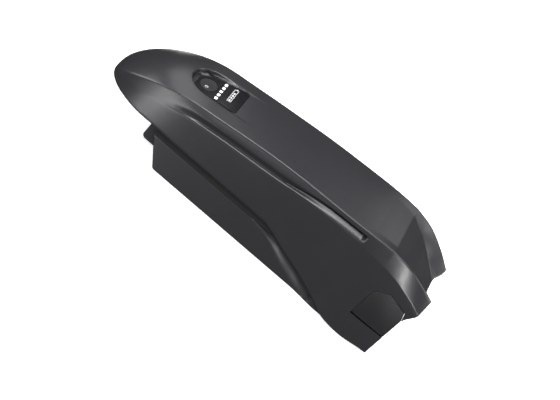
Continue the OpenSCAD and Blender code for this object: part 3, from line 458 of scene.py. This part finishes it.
def shell_surface(stations, inset=0.0):
    """Points of half the shell, from the middle of the top to the foot: arrays (stations, steps)."""
    x = np.asarray(stations, float)[:, None]
    if inset:
        nose_part = NOSE_X + inset + (x - NOSE_X) * (NOSE_LEN - inset) / NOSE_LEN
        x = np.where(x < NOSE_START, nose_part, x)
    sec = Section(x, inset)
    edge = sec.wc - sec.round
    h = recess_columns(sec)
    w = np.minimum(RECESS_WALL, h * 0.4)
    f1, f2, f3 = (np.linspace(0, 1, n, endpoint=False)[None] for n in (N_INNER, N_WALL, N_OUTER))
    y_top = np.concatenate([(h - w) * f1, (h - w) + w * f2, h + (edge - h) * f3, edge], 1)
    z_top = sec.top_z(y_top)
    t = (np.arange(1, N_CREST + 1) / (N_CREST + 1))[None]
    uy, uz = sec.under_crest()
    y_cr = edge * (1 - t) ** 2 + 2 * sec.wc * t * (1 - t) + uy * t * t
    z_cr = sec.top_z(edge) * (1 - t) ** 2 + 2 * sec.zc * t * (1 - t) + uz * t * t
    s = np.linspace(0, 1, N_STRIP + 1)[None, :-1]
    y_st, z_st = sec.strip(s)
    ly, lz = sec.lip
    fy, fz = sec.foot
    y_a, z_a = sec.strip(1 - LIP_SHARE)
    b = 0.8 * sec.ew / np.maximum(np.hypot(fy - ly, fz - lz), 0.8)
    y_b, z_b = ly + (fy - ly) * b, lz + (fz - lz) * b
    q = (np.arange(1, N_LIP + 1) / (N_LIP + 1))[None]
    keep = s[0] < 1 - LIP_SHARE
    y_st, z_st = y_st[:, keep], z_st[:, keep]
    y_li = y_a * (1 - q) ** 2 + 2 * ly * q * (1 - q) + y_b * q * q
    z_li = z_a * (1 - q) ** 2 + 2 * lz * q * (1 - q) + z_b * q * q
    foot_steps = np.array([0.985, 0.992, 0.997, 1.0])[None]
    v = np.concatenate([np.linspace(0, 1, N_SIDE)[None, :-1] * 0.97, foot_steps], 1)
    y_si, z_si = y_b + (fy - y_b) * v, z_b + (fz - z_b) * v
    if not inset:
        near_foot = np.clip(1 - (z_si - fz) / FOOT_ROUND_UP, 0, 1) * smooth((lz - fz) / 6)
        y_si = y_si - FOOT_ROUND_IN * sec.ew * (1 - np.sqrt(1 - near_foot ** 2))
    z_sunk = z_top - recess_drop(x + 0 * y_top, y_top, z_top) * (sec.ez if inset == 0 else 1)
    n_top, n_cr, n_st, n_li, n_si = (a.shape[1] for a in (y_top, y_cr, y_st, y_li, y_si))
    y = np.concatenate([y_top, y_cr, y_st, y_li, y_si], 1)
    z = np.concatenate([z_sunk, z_cr, z_st, z_li, z_si], 1)
    turn = (np.arange(1, n_cr + 1) / (n_cr + 1)) * math.pi / 2
    in_y = np.concatenate([np.zeros(n_top), np.sin(turn), np.ones(n_st + n_li + n_si)])[None]
    in_z = np.concatenate([np.ones(n_top), np.cos(turn), np.zeros(n_st + n_li + n_si)])[None]
    if inset:
        y = y - in_y * WALL * sec.ew
        plain = np.concatenate([z_top, z_cr, z_st, z_li, z_si], 1) - in_z * WALL * sec.ez
        z = np.minimum(plain, np.concatenate([z_sunk - 2.0, plain[:, n_top:]], 1))
    else:
        t_end = np.clip((x - (END_X - EDGE_ROUND)) / EDGE_ROUND, 0, 1)
        pull = EDGE_ROUND * (1 - np.sqrt(1 - t_end ** 2))
        y, z = y - in_y * pull, z - in_z * pull
    f_top = y_top / edge
    reach_top = np.interp(f_top, *zip(*END_EDGE_TOP))
    reach_strip = np.interp(np.linspace(0, 1, n_cr + n_st + n_li), *zip(*END_EDGE_STRIP))[None]
    reach_side = np.interp(v, *zip(*END_EDGE_SIDE))
    reach = np.concatenate([reach_top, reach_strip + 0 * x, reach_side + 0 * x], 1)
    xx = x + 0 * y
    stretch = (reach - END_BEND) / (END_X - END_BEND)
    xx = np.where(xx > END_BEND, END_BEND + (xx - END_BEND) * stretch, xx)
    return np.stack([xx, np.maximum(y, 0), z], 2)


def shell_stations():
    tip = NOSE_X + 0.01 + (36.0 - 0.01) * np.linspace(0, 1, 36) ** 2.6
    end = END_X - EDGE_ROUND * (1 - np.sin(np.linspace(0, 1, 5) * math.pi / 2))
    return np.concatenate([
        tip[:-1], np.arange(-150, -130, 1.5), np.arange(-130, -116, 0.4), np.arange(-116, -36, 1.0),
        np.arange(-36, 84, 2.0), np.arange(84, 104, 0.5), np.arange(104, 124.4, 1.5), [124.5],
        np.arange(126, 185, 1.5), end])


def mirrored_ring(half):
    """(stations, steps, 3) half points to full rings from the -Y foot over the top to the +Y foot."""
    left = half[:, ::-1] * np.array([1, -1, 1])
    return np.concatenate([left[:, :-1], half], 1)


def make_shell():
    st = shell_stations()
    outer = mirrored_ring(shell_surface(st))
    inner = mirrored_ring(shell_surface(st, WALL + 0.4))
    n, m = outer.shape[:2]
    pts = np.concatenate([outer.reshape(-1, 3), inner.reshape(-1, 3)])
    i, j = np.meshgrid(np.arange(n - 1), np.arange(m - 1), indexing="ij")
    a = (i * m + j).ravel()
    sheet = np.stack([a, a + 1, a + 1 + m, a + m], 1)
    off = n * m
    faces = sheet.tolist() + (sheet[:, ::-1] + off).tolist()
    last = (n - 1) * m
    faces += [(last + k, last + k + 1, off + last + k + 1, off + last + k) for k in range(m - 1)]
    for foot in (0, m - 1):
        faces += [(k * m + foot, (k + 1) * m + foot, off + (k + 1) * m + foot, off + k * m + foot)
                  for k in range(n - 1)]
    faces += [tuple(range(m)), tuple(range(off, off + m))[::-1], (0, m - 1, off + m - 1, off)]
    return put("shell_skin", pts, faces, "shell_grey", sharp=40)


COVER_LOW = 31.2
COVER = [(0.3, COVER_LOW), (0.3, 67), (2.6, 71.4), (15, 78.4), (37.2, 70.3), (40.4, 61),
         (40.4, COVER_LOW)]
WINDOW = [(0, COVER_LOW - 0.3), (0, 67.1), (2.4, 71.7), (15, 78.8), (37.5, 70.6), (40.5, 61.0),
          (48, 61.0), (48, COVER_LOW - 0.3)]
COVER_T = 2.4
HINGE_Z = COVER_LOW + COVER_T


def ring_at(outline, d, place):
    return [place((u, d, w)) for u, w in outline]


LENS_X = (-25.0, 20.0)
LENS_Y = 17.0


def lens_outline(grow):
    a, b, c = LENS_X[0] - grow, LENS_X[1] + grow, LENS_Y + grow
    return rounded([(a, -c), (b, -c), (b, c), (a, c)], 7.5, 8)


shell = make_shell()
window = prism("window_cutter", ring_at(WINDOW, -4, at_port), ring_at(WINDOW, 4, at_port))
hole = lens_outline(0.12)
lens_hole = prism("lens_cutter", [on_panel((u, v, -6)) for u, v in hole],
                  [on_panel((u, v, 12)) for u, v in hole])
cut(shell, [window, lens_hole], 40)
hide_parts("upper_shell", "indicator_bezel")


# ---------------------------------------------------------------- recess panel, button, lights
BUTTON_U, BUTTON_R = -13.5, 9.0


def panel_height(u, v):
    """Height of the recess floor above the flat panel plane, at panel coordinates."""
    x = np.array([[PANEL.x + u * math.cos(PANEL_TILT)]])
    y = np.array([[float(v)]])
    sec = Section(x)
    z = sec.top_z(y)
    sunk = z - recess_drop(x, y, z)
    return float((sunk - floor_z(x))[0, 0]) * math.cos(PANEL_TILT)


def panel_sheet(name, outline, lift, thick, finish, body="pack", hole=None):
    """A plate over an outline in panel coordinates whose top follows the recess floor."""
    bm = bmesh.new()
    def loop(points):
        vs = [bm.verts.new((u, v, 0)) for u, v in points]
        return [bm.edges.new((vs[i], vs[(i + 1) % len(vs)])) for i in range(len(vs))]
    edges = loop(outline)
    if hole:
        edges += loop(hole)
    bmesh.ops.triangle_fill(bm, edges=edges, use_beauty=True)
    long_edges = [e for e in bm.edges if e.calc_length() > 2.5]
    rounds = 0
    while long_edges and rounds < 6:
        bmesh.ops.subdivide_edges(bm, edges=[e for e in long_edges if not e.is_boundary], cuts=1)
        bmesh.ops.triangulate(bm, faces=bm.faces)
        long_edges = [e for e in bm.edges if e.calc_length() > 2.5 and not e.is_boundary]
        rounds += 1
    bmesh.ops.beautify_fill(bm, faces=bm.faces, edges=[e for e in bm.edges if not e.is_boundary])
    flat = [(v.co.x, v.co.y) for v in bm.verts]
    bm.verts.index_update()
    tris = [[v.index for v in f.verts] for f in bm.faces]
    rim = [[v.index for v in e.verts] for e in bm.edges if e.is_boundary]
    bm.free()
    k = len(flat)
    top = [on_panel((u, v, panel_height(u, v) + lift)) for u, v in flat]
    low = [on_panel((u, v, panel_height(u, v) + lift - thick)) for u, v in flat]
    faces = tris + [[i + k for i in t][::-1] for t in tris] + [[a, b, b + k, a + k] for a, b in rim]
    return put(name, top + low, faces, finish, body, 30)


FILM = [(24, 20.6), (0, 20.0), (-15, 18.3), (-23, 15.6), (-27.5, 11.2), (-29.9, 5.6), (-30.6, 0)]


def film_outline():
    """The recess floor's own outline, a little inside its wall."""
    half = FILM[:-1]
    return rounded(half + [FILM[-1]] + [(u, -v) for u, v in half[::-1]], 5, 6)


button_hole = [(BUTTON_U + p[0], p[1]) for p in disc(BUTTON_R + 0.2, 0, 72)]
lens = panel_sheet("lens_panel", film_outline(), 0.3, 0.34, "lens_black", hole=button_hole)
panel_sheet("lens_body", lens_outline(0), -0.06, 1.8, "lens_black", hole=button_hole)
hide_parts("indicator_lens")

BUTTON_RINGS = [(10.4, -3), (10.4, -2.05), (9, -2.05), (9, 0.35), (8.9, 0.62), (8.65, 0.8), (8.2, 0.86),
                (7.4, 0.78), (6, 0.66), (4, 0.58), (2, 0.55), (0.6, 0.55)]
button = loft("button_cap", [[(BUTTON_U + x, y, w) for x, y, w in disc(r, h)] for r, h in BUTTON_RINGS],
              "dark_plastic", "button", 40, on_panel)
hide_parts("power_button")


def strip_ring(path, width, lift, place, thick=0.12):
    """Closed flat ribbon along a 2-D path: points and faces, placed by place()."""
    pts, faces, n = [], [], len(path)
    p = np.array(path, float)
    t = np.gradient(p, axis=0)
    t /= np.linalg.norm(t, axis=1)[:, None]
    side = np.stack([-t[:, 1], t[:, 0]], 1) * width / 2
    for k in range(n):
        for sgn in (1, -1):
            u, v = p[k] + sgn * side[k]
            pts += [place((u, v, lift)), place((u, v, lift - thick))]
    for k in range(n - 1):
        a, b = 4 * k, 4 * (k + 1)
        faces += [(a, b, b + 2, a + 2), (a + 1, a + 3, b + 3, b + 1)]
        faces += [(a, a + 1, b + 1, b), (a + 2, b + 2, b + 3, a + 3)]
    faces += [(0, 2, 3, 1), (4 * n - 4, 4 * n - 3, 4 * n - 1, 4 * n - 2)]
    return pts, faces


def marks(name, ribbons, finish, body, place):
    """Several printed ribbons as one piece."""
    pts, faces = [], []
    for path, width, lift in ribbons:
        p, f = strip_ring(path, width, lift, place)
        faces += [tuple(i + len(pts) for i in face) for face in f]
        pts += p
    return put(name, pts, faces, finish, body, 30)


ICON = (BUTTON_U - 0.6, -4.9)
ICON_R = 1.5
arc = [(ICON[0] + ICON_R * math.cos(a), ICON[1] + ICON_R * math.sin(a))
       for a in np.radians(np.linspace(-35, 215, 25))]
bar = [(ICON[0], ICON[1] - 0.3), (ICON[0], ICON[1] - 1.2), (ICON[0], ICON[1] - 2.1)]
marks("button_mark", [(arc, 0.55, 0.72), (bar, 0.55, 0.74)], "mark_grey", "button", on_panel)

LIGHT_COUNT, LIGHT_PITCH, LIGHT_SIZE = 5, 6.6, (2.8, 4.0)


def light_rings(y):
    a, b = LIGHT_SIZE[0] / 2, LIGHT_SIZE[1] / 2
    full = rounded([(-a, y - b), (a, y - b), (a, y + b), (-a, y + b)], 0.7, 4)
    levels = [(full, -1.9), (full, 0.22), (shrunk(full, 0.12), 0.3)]
    return [[(u, v, w) for u, v in outline] for outline, w in levels]


pts, faces = [], []
for k in range(LIGHT_COUNT):
    rings = light_rings(LIGHT_PITCH * (k - (LIGHT_COUNT - 1) / 2))
    n, first = len(rings[0]), len(pts)
    pts += [on_panel(p) for ring in rings for p in ring]
    for r in range(2):
        faces += [(first + r * n + i, first + r * n + (i + 1) % n, first + (r + 1) * n + (i + 1) % n,
                   first + (r + 1) * n + i) for i in range(n)]
    faces += [tuple(range(first, first + n))[::-1], tuple(range(first + 2 * n, first + 3 * n))]
lights = put("light_windows", pts, faces, "light_white", sharp=40)
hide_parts("charge_lights")

# A plain battery outline printed beside the lights.
PICT_NEAR, PICT_FAR, PICT_LOW, PICT_HIGH = 9.4, 13.2, -8, 14
PRINT_LIFT = 0.2
corners = [(PICT_NEAR, PICT_LOW), (PICT_NEAR, PICT_HIGH), (PICT_FAR, PICT_HIGH), (PICT_FAR, PICT_LOW)]
ribbons = []
for (ax, ay), (bx, by) in zip(corners, corners[1:] + corners[:1]):
    side = [(ax + (bx - ax) * t, ay + (by - ay) * t) for t in np.linspace(0, 1, 6)]
    ribbons.append((side, 0.5, PRINT_LIFT))
pict_mid = (PICT_NEAR + PICT_FAR) / 2
ribbons.append(([(pict_mid, PICT_HIGH + 0.4 + 0.4 * t) for t in range(4)], 1.8, PRINT_LIFT))
for y in (-5.6, -1.3, 3.0, 7.3):
    ribbons.append(([(PICT_NEAR + 1, y), (pict_mid, y), (PICT_FAR - 1, y)], 2.6, PRINT_LIFT))
marks("pack_pictogram", ribbons, "mark_grey", "pack", on_panel)


# ---------------------------------------------------------------- lower case
CASE_HALF, CASE_BASE, CASE_STEP, CASE_END = 37.0, 0.0, 34.4, 171.7
NECK_HALF, NECK_TOP = 35.6, 47.0
NOSE_FACE_ROUND = 3.0


def lean_x(z):
    """Where the case's leaning nose face stands at the height z."""
    return -97.3 - 0.58 * z


def groove_dip(x, z):
    """How far the case's side falls back as it comes close to the shell's edge."""
    edge = curve(FOOT_Z, x)
    below = edge - z
    width = 3.0 + 9.0 * smooth((x - 18) / 50)
    start = 10.4 - 4.0 * smooth((x - 15) / 30)
    return 2.6 * (1 - smooth((below - start) / width)) * smooth((x - 8) / 14)


def case_section():
    """Half section of the case, (half width, height), and which of its points lie on the open side."""
    corner, top = 2.0, CASE_STEP - CASE_BASE
    turn = np.linspace(0, math.pi / 2, 7)
    prof = [(0, 0), (CASE_HALF - corner - 16, 0), (CASE_HALF - corner - 6, 0)]
    prof += [(CASE_HALF - corner + corner * math.sin(a), corner * (1 - math.cos(a))) for a in turn]
    prof += [(CASE_HALF, h) for h in np.linspace(3.2, top - 0.8, 26)]
    prof += [(CASE_HALF - 0.2, top - 0.25), (CASE_HALF - 0.7, top), (NECK_HALF + 0.1, top),
             (NECK_HALF, top + 0.3), (NECK_HALF, NECK_TOP - CASE_BASE)]
    prof = np.array(prof)
    return prof, (prof[:, 1] > 1.9) & (prof[:, 1] < top - 0.1)


def make_case_mesh():
    """The case from its leaning nose face, whose edge is rounded, to the terminal end."""
    prof, side = case_section()
    top = CASE_STEP - CASE_BASE
    turn = np.linspace(0, math.pi / 2, 6)
    edge = NOSE_FACE_ROUND
    rows = [(edge * (1 - math.sin(a)), edge * (1 - math.cos(a)), 0.0) for a in turn]
    rows += [(0.0, edge, s) for s in np.linspace(0, 1, 90)[1:]]
    rings = []
    for shrink, back, s in rows:
        y = prof[:, 0] * (1 - shrink / CASE_HALF)
        z = CASE_BASE + prof[:, 1] + shrink * np.clip(1 - prof[:, 1] / top, 0, 1)
        start = lean_x(CASE_BASE + prof[:, 1]) + back
        x = start + s * (CASE_END - start)
        flare = 2.9 * smooth((x - 78) / 34) * (1 - smooth((z - 29) / 1.5))
        y = np.where(prof[:, 0] > 20, y - side * groove_dip(x, z) * (x < 100) + flare, y)
        half = np.stack([x, y, z], 1)
        rings.append(np.concatenate([half[::-1] * np.array([1, -1, 1]), half[1:]]))
    return loft("case_body", rings, "case_grey", sharp=34)


def slab(name, outline, half):
    """Closed cutter: an outline in X and Z, between y = -half and y = half."""
    return prism(name, [(x, -half, z) for x, z in outline], [(x, half, z) for x, z in outline])


case = make_case_mesh()
floor_top, wall_x = 2.6, 3.2
hollow = slab("hollow", [(lean_x(floor_top) + wall_x, floor_top), (112, floor_top), (112, 60),
                         (lean_x(31) + wall_x, 60), (lean_x(31) + wall_x, 31)], CASE_HALF - 3.3)
bay = slab("bay", [(111, floor_top), (170, floor_top), (170, 60), (111, 60)], 37.8)
opening = slab("opening", [(165, 8.2), (175, 8.2), (175, 60), (165, 60)], 30.2)
cut(case, [hollow, bay, opening], 34)
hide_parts("lower_case")


# ---------------------------------------------------------------- charge port cover
def cover_rings():
    plate = [p if p[1] > COVER_LOW + 1 else (p[0], HINGE_Z) for p in COVER]
    full = shrunk(rounded(plate, 0.8, 5), 0.12)
    return [(shrunk(full, 0.35), 0.0), (shrunk(full, 0.1), 0.1), (full, 0.38), (full, COVER_T)]


plate_rings = [[(u, d, w) for u, w in ring] for ring, d in cover_rings()]
cover = loft("cover_plate", plate_rings, "dark_plastic", "cover", 34, at_port)
barrel_turn = np.linspace(0, 2 * math.pi, 41)[:-1]
barrel = [[(u, COVER_T + r * math.sin(a), HINGE_Z + r * math.cos(a)) for a in barrel_turn]
          for u, r in ((2.1, 2.0), (2.4, 2.4), (38.0, 2.4), (38.3, 2.0))]
loft("cover_barrel", barrel, "dark_plastic", "cover", 34, at_port)
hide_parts("port_cover")


# ---------------------------------------------------------------- finishes of the CAD nodes that stay
NODE_FINISH = {
    # The gasket's very dark black is partly painted shade for the gap under the shell.
    "nose_plate": "dark_plastic", "case_gasket": "soft_black", "lock_keeper": "dark_plastic",
    "keeper_screws": "steel", "case_screws": "steel", "cells": "cell_wrap",
    "holder_left": "holder_white", "holder_right": "holder_white", "tie_rods": "steel",
    "bus_left": "nickel", "bus_right": "nickel", "insulator_left": "paper",
    "insulator_right": "paper", "foam_pad": "foam", "thermistors": "component_black",
    "bms_board": "board_green", "board_screws": "steel", "bms_chips": "component_black",
    "heat_plate": "aluminium", "button_seal": "soft_black", "light_board": "board_green",
    "light_chips": "light_white", "tact_switch": "component_black", "panel_screws": "steel",
    "indicator_cable": "wire_black", "cover_plug": "soft_black", "cover_pin": "steel",
    "port_frame": "dark_plastic", "charge_socket": "dark_plastic",
    "charge_contacts": "contact_gold", "port_screws": "steel", "end_cap": "dark_plastic",
    "cap_seal": "soft_black", "cap_screws": "steel", "vent_plug": "dark_plastic",
    "discharge_socket": "component_black", "power_contacts": "contact_gold",
    "signal_contacts": "contact_gold", "main_fuse": "fuse_orange", "positive_cable": "wire_red",
    "negative_cable": "wire_black", "signal_cable": "wire_grey", "charge_cable": "wire_red",
    "balance_cable": "wire_grey",
}
for node, finish in NODE_FINISH.items():
    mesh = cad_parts[node].data
    for i in range(max(1, len(mesh.materials))):
        if i < len(mesh.materials):
            mesh.materials[i] = FINISH[finish]
        else:
            mesh.materials.append(FINISH[finish])


# ---------------------------------------------------------------- floor, camera and light
def quad(name, size, z, mat):
    mesh = bpy.data.meshes.new(name)
    corners = [(-size, -size, z), (size, -size, z), (size, size, z), (-size, size, z)]
    mesh.from_pydata(corners, [], [(0, 1, 2, 3)])
    obj = bpy.data.objects.new(name, mesh)
    bpy.context.collection.objects.link(obj)
    mesh.materials.append(mat)
    return obj


FLOOR_Z = -0.0006
floor = quad("floor", 6.0, FLOOR_Z, node_material("pale_floor", (0.93, 0.93, 0.93), 0.8, drift=0.01))
floor_bsdf = floor.data.materials[0].node_tree.nodes["Principled BSDF"]
floor_bsdf.inputs["Emission Color"].default_value = (1, 1, 1, 1)
floor_bsdf.inputs["Emission Strength"].default_value = 0.75
# The floor shows the pack's shadow but neither lights the pack nor hides the low softboxes from it.
floor.visible_diffuse = floor.visible_glossy = floor.visible_shadow = False

TARGET = Vector((17.811, 0, 45.154)) * MM
DISTANCE = 1421.096 * MM
AZIMUTH, ELEVATION, ROLL = (math.radians(a) for a in (6.165, 36.999, 44.55))
SENSOR_W, LENS = 36.0, 94.03959
look = Vector((math.sin(AZIMUTH) * math.cos(ELEVATION), math.cos(AZIMUTH) * math.cos(ELEVATION),
               -math.sin(ELEVATION)))
level = Vector((math.cos(AZIMUTH), -math.sin(AZIMUTH), 0))
upright = level.cross(look)
right = level * math.cos(ROLL) + upright * math.sin(ROLL)
top_dir = -level * math.sin(ROLL) + upright * math.cos(ROLL)
camera = bpy.data.objects.new("camera", bpy.data.cameras.new("camera"))
camera.data.sensor_width = SENSOR_W
camera.data.lens = LENS
eye = TARGET - look * DISTANCE
camera.matrix_world = Matrix(((right.x, top_dir.x, -look.x, eye.x),
                              (right.y, top_dir.y, -look.y, eye.y),
                              (right.z, top_dir.z, -look.z, eye.z), (0, 0, 0, 1)))
bpy.context.collection.objects.link(camera)
bpy.context.scene.camera = camera


# Softboxes hang around the pack in a dark studio: (place along X, bearing, height, size, watts).
# Bearing 0 is the charge port's side, 90 the terminal end, 180 the far side and 270 the nose.
SOFTBOXES = {
    "end_low": (0.25, 98, -10, 0.5, 4.0), "end_high": (0.25, 90, 30, 0.5, 3.0),
    "nose_high": (-0.25, 270, 30, 0.5, 5.0), "nose_low": (-0.55, 0, -5, 0.26, 2.1),
    "over_end": (0.5, 0, 90, 0.26, 2.4), "over_mid": (0.17, 0, 90, 0.26, 1.3),
    "over_nose": (-0.5, 0, 90, 0.26, 2.2), "crest_mid": (0.05, 0, 62, 0.3, 1.0),
    "crest_nose": (-0.22, 0, 46, 0.22, 2.2), "crest_line": (-0.14, 0, 56, 0.7, 5.5, 0.05),
    "strip_nose": (-0.3, 0, 18, 0.3, 0.3, 0.12), "back_nose": (-0.45, 180, 58, 0.5, 1.8),
    "back_end": (0.4, 180, 55, 0.5, 1.3), "front_low": (-0.36, 0, -27, 0.24, 2.0),
    "far_side": (-0.1, 180, -26, 0.5, 3.2), "far_end": (0.5, 135, -12, 0.4, 1.6),
    "facet": (0.54, 4, -6, 0.14, 2.6), "facet_high": (0.5, 10, 8, 0.14, 1.0),
}
SOFTBOX_REACH = 0.85
PACK_MID = 0.06
AIM_SHARE = 0.4


def softbox(name, along, bearing, height, size, watts, tall=None):
    b, h = math.radians(bearing), math.radians(height)
    away = Vector((math.sin(b) * math.cos(h), -math.cos(b) * math.cos(h), math.sin(h)))
    data = bpy.data.lights.new(name, "AREA")
    data.shape, data.size, data.size_y, data.energy = "RECTANGLE", size, tall or size, watts
    obj = bpy.data.objects.new(name, data)
    obj.location = Vector((along, 0, PACK_MID)) + away * SOFTBOX_REACH
    toward = Vector((along * AIM_SHARE, 0, PACK_MID)) - obj.location
    obj.rotation_euler = toward.to_track_quat("-Z", "Y").to_euler()
    bpy.context.collection.objects.link(obj)


for name, settings in SOFTBOXES.items():
    softbox(name, *settings)

# The sweep behind the pack is white to the camera and almost dark to everything else.
world = bpy.data.worlds.new("studio")
bpy.context.scene.world = world
world.use_nodes = True
backdrop = world.node_tree.nodes["Background"]
backdrop.inputs["Color"].default_value = (1, 1, 1, 1)
seen = world.node_tree.nodes.new("ShaderNodeLightPath").outputs["Is Camera Ray"]
glow = world.node_tree.nodes.new("ShaderNodeMapRange")
glow.inputs["To Min"].default_value = 0.035
world.node_tree.links.new(seen, glow.inputs["Value"])
world.node_tree.links.new(glow.outputs["Result"], backdrop.inputs["Strength"])
bpy.context.scene.view_settings.view_transform = "Standard"
